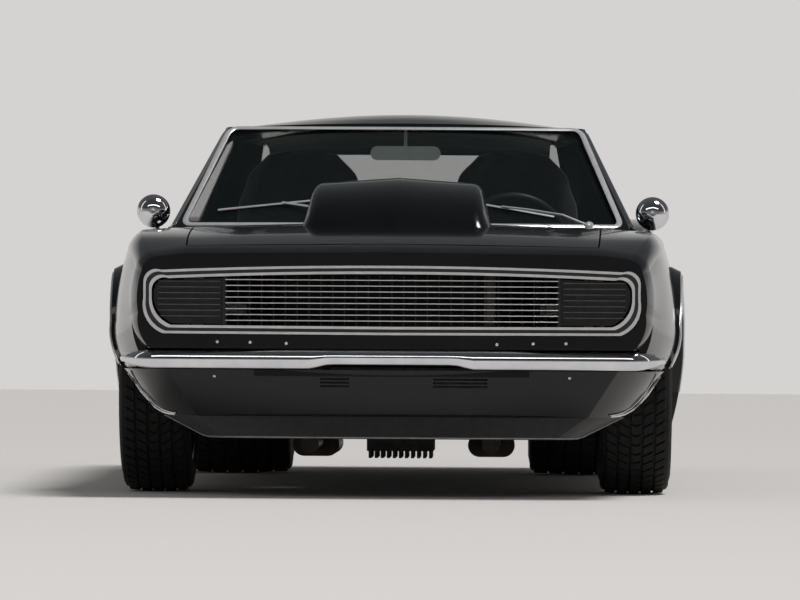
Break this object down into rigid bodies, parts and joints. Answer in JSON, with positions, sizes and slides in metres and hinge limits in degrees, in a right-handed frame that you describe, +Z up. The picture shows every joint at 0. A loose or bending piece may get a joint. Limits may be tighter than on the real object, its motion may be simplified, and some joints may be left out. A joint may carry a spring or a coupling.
{
  "type": "two-door muscle car",
  "caption": "Black two-door muscle car with hidden headlamps, tall hood scoop, chin spoiler and very wide rear tyres; doors, lids, headlamp doors, steering and wheels move.",
  "frame": {"origin": "on the ground, in the middle of the car's length and width", "axes": "+Z up, the car faces -Y, its left side is at +X"},
  "size_m": [1.85, 4.6906, 1.2754],
  "materials": {
    "black_paint": "gloss",
    "chrome": "polished",
    "black_trim": "satin",
    "dark_grille": "gloss",
    "clear_glass": "clear",
    "tyre_rubber": "matte",
    "wheel_metal": "satin",
    "frame_black": "satin",
    "engine_iron": "rough",
    "steel": "satin",
    "interior_cloth": "matte",
    "red_lens": "gloss"
  },
  "bodies": {
    "body": {"chin_spoiler": "black_trim", "cowl_panel": "black_paint", "dashboard": "black_trim", "engine": "engine_iron", "exhaust": "steel", "front_bumper": "chrome", "front_fender_left": "black_paint", "front_fender_right": "black_paint", "front_seats": "interior_cloth", "front_subframe": "frame_black", "front_valance": "black_paint", "fuel_tank": "frame_black", "gearbox": "engine_iron", "grille": "dark_grille", "grille_frame": "black_trim", "grille_trim": "chrome", "headlamps": "clear_glass", "inside_mirror": "black_trim", "nose_panel": "black_paint", "quarter_panel_left": "black_paint", "quarter_panel_right": "black_paint", "quarter_windows": "clear_glass", "radiator": "wheel_metal", "rear_axle": "frame_black", "rear_bumper": "chrome", "rear_deck_panel": "black_paint", "rear_seat": "interior_cloth", "rear_window": "clear_glass", "rocker_panels": "black_paint", "roof": "black_paint", "tail_lamps": "red_lens", "tail_panel": "black_paint", "underbody": "frame_black", "windshield": "clear_glass"},
    "door_left": {"door_left": "black_paint", "door_glass_left": "clear_glass", "door_mirror_left": "chrome", "door_handle_left": "chrome"},
    "headlamp_door_left": {"headlamp_door_left": "dark_grille"},
    "knuckle_left": {"knuckle_left": "frame_black"},
    "wheel_front_left": {"tyre_front_left": "tyre_rubber", "wheel_front_left": "wheel_metal"},
    "wheel_rear_left": {"tyre_rear_left": "tyre_rubber", "wheel_rear_left": "wheel_metal"},
    "door_right": {"door_right": "black_paint", "door_glass_right": "clear_glass", "door_mirror_right": "chrome", "door_handle_right": "chrome"},
    "headlamp_door_right": {"headlamp_door_right": "dark_grille"},
    "knuckle_right": {"knuckle_right": "frame_black"},
    "wheel_front_right": {"tyre_front_right": "tyre_rubber", "wheel_front_right": "wheel_metal"},
    "wheel_rear_right": {"tyre_rear_right": "tyre_rubber", "wheel_rear_right": "wheel_metal"},
    "hood": {"hood": "black_paint"},
    "deck_lid": {"deck_lid": "black_paint"},
    "steering_wheel": {"steering_wheel": "black_trim"}
  },
  "joints": [
    {"name": "steer_left", "type": "hinge", "parent": "body", "child": "knuckle_left", "pos_m": [0.69, -1.4135, 0.325], "axis": [0, 0, 1], "range_deg": [-30, 30]},
    {"name": "steer_right", "type": "hinge", "parent": "body", "child": "knuckle_right", "pos_m": [-0.69, -1.4135, 0.325], "axis": [0, 0, 1], "range_deg": [-30, 30]},
    {"name": "roll_front_left", "type": "hinge", "parent": "knuckle_left", "child": "wheel_front_left", "pos_m": [0.758, -1.4135, 0.325], "axis": [1, 0, 0], "continuous": true},
    {"name": "roll_rear_left", "type": "hinge", "parent": "body", "child": "wheel_rear_left", "pos_m": [0.647, 1.3295, 0.365], "axis": [1, 0, 0], "continuous": true},
    {"name": "open_door_left", "type": "hinge", "parent": "body", "child": "door_left", "pos_m": [0.875, -0.7135, 0.5], "axis": [0, 0, 1], "range_deg": [-68, 0]},
    {"name": "open_headlamp_left", "type": "hinge", "parent": "body", "child": "headlamp_door_left", "pos_m": [0.62, -2.1725, 0.6], "axis": [0, 0, 1], "range_deg": [-80, 0]},
    {"name": "roll_front_right", "type": "hinge", "parent": "knuckle_right", "child": "wheel_front_right", "pos_m": [-0.758, -1.4135, 0.325], "axis": [1, 0, 0], "continuous": true},
    {"name": "roll_rear_right", "type": "hinge", "parent": "body", "child": "wheel_rear_right", "pos_m": [-0.647, 1.3295, 0.365], "axis": [1, 0, 0], "continuous": true},
    {"name": "open_door_right", "type": "hinge", "parent": "body", "child": "door_right", "pos_m": [-0.875, -0.7135, 0.5], "axis": [0, 0, 1], "range_deg": [0, 68]},
    {"name": "open_headlamp_right", "type": "hinge", "parent": "body", "child": "headlamp_door_right", "pos_m": [-0.62, -2.1725, 0.6], "axis": [0, 0, 1], "range_deg": [0, 80]},
    {"name": "open_hood", "type": "hinge", "parent": "body", "child": "hood", "pos_m": [0, -0.8835, 0.849], "axis": [1, 0, 0], "range_deg": [-50, 0]},
    {"name": "open_deck_lid", "type": "hinge", "parent": "body", "child": "deck_lid", "pos_m": [0, 1.3165, 0.933], "axis": [1, 0, 0], "range_deg": [0, 55]},
    {"name": "turn_steering_wheel", "type": "hinge", "parent": "body", "child": "steering_wheel", "pos_m": [0.37, -0.2635, 0.815], "axis": [0, -0.9272, -0.3746], "range_deg": [-480, 480]}
  ],
  "couplings": [
    {"joint": "steer_right", "follows": "steer_left", "ratio": 1},
    {"joint": "turn_steering_wheel", "follows": "steer_left", "ratio": -16}
  ]
}
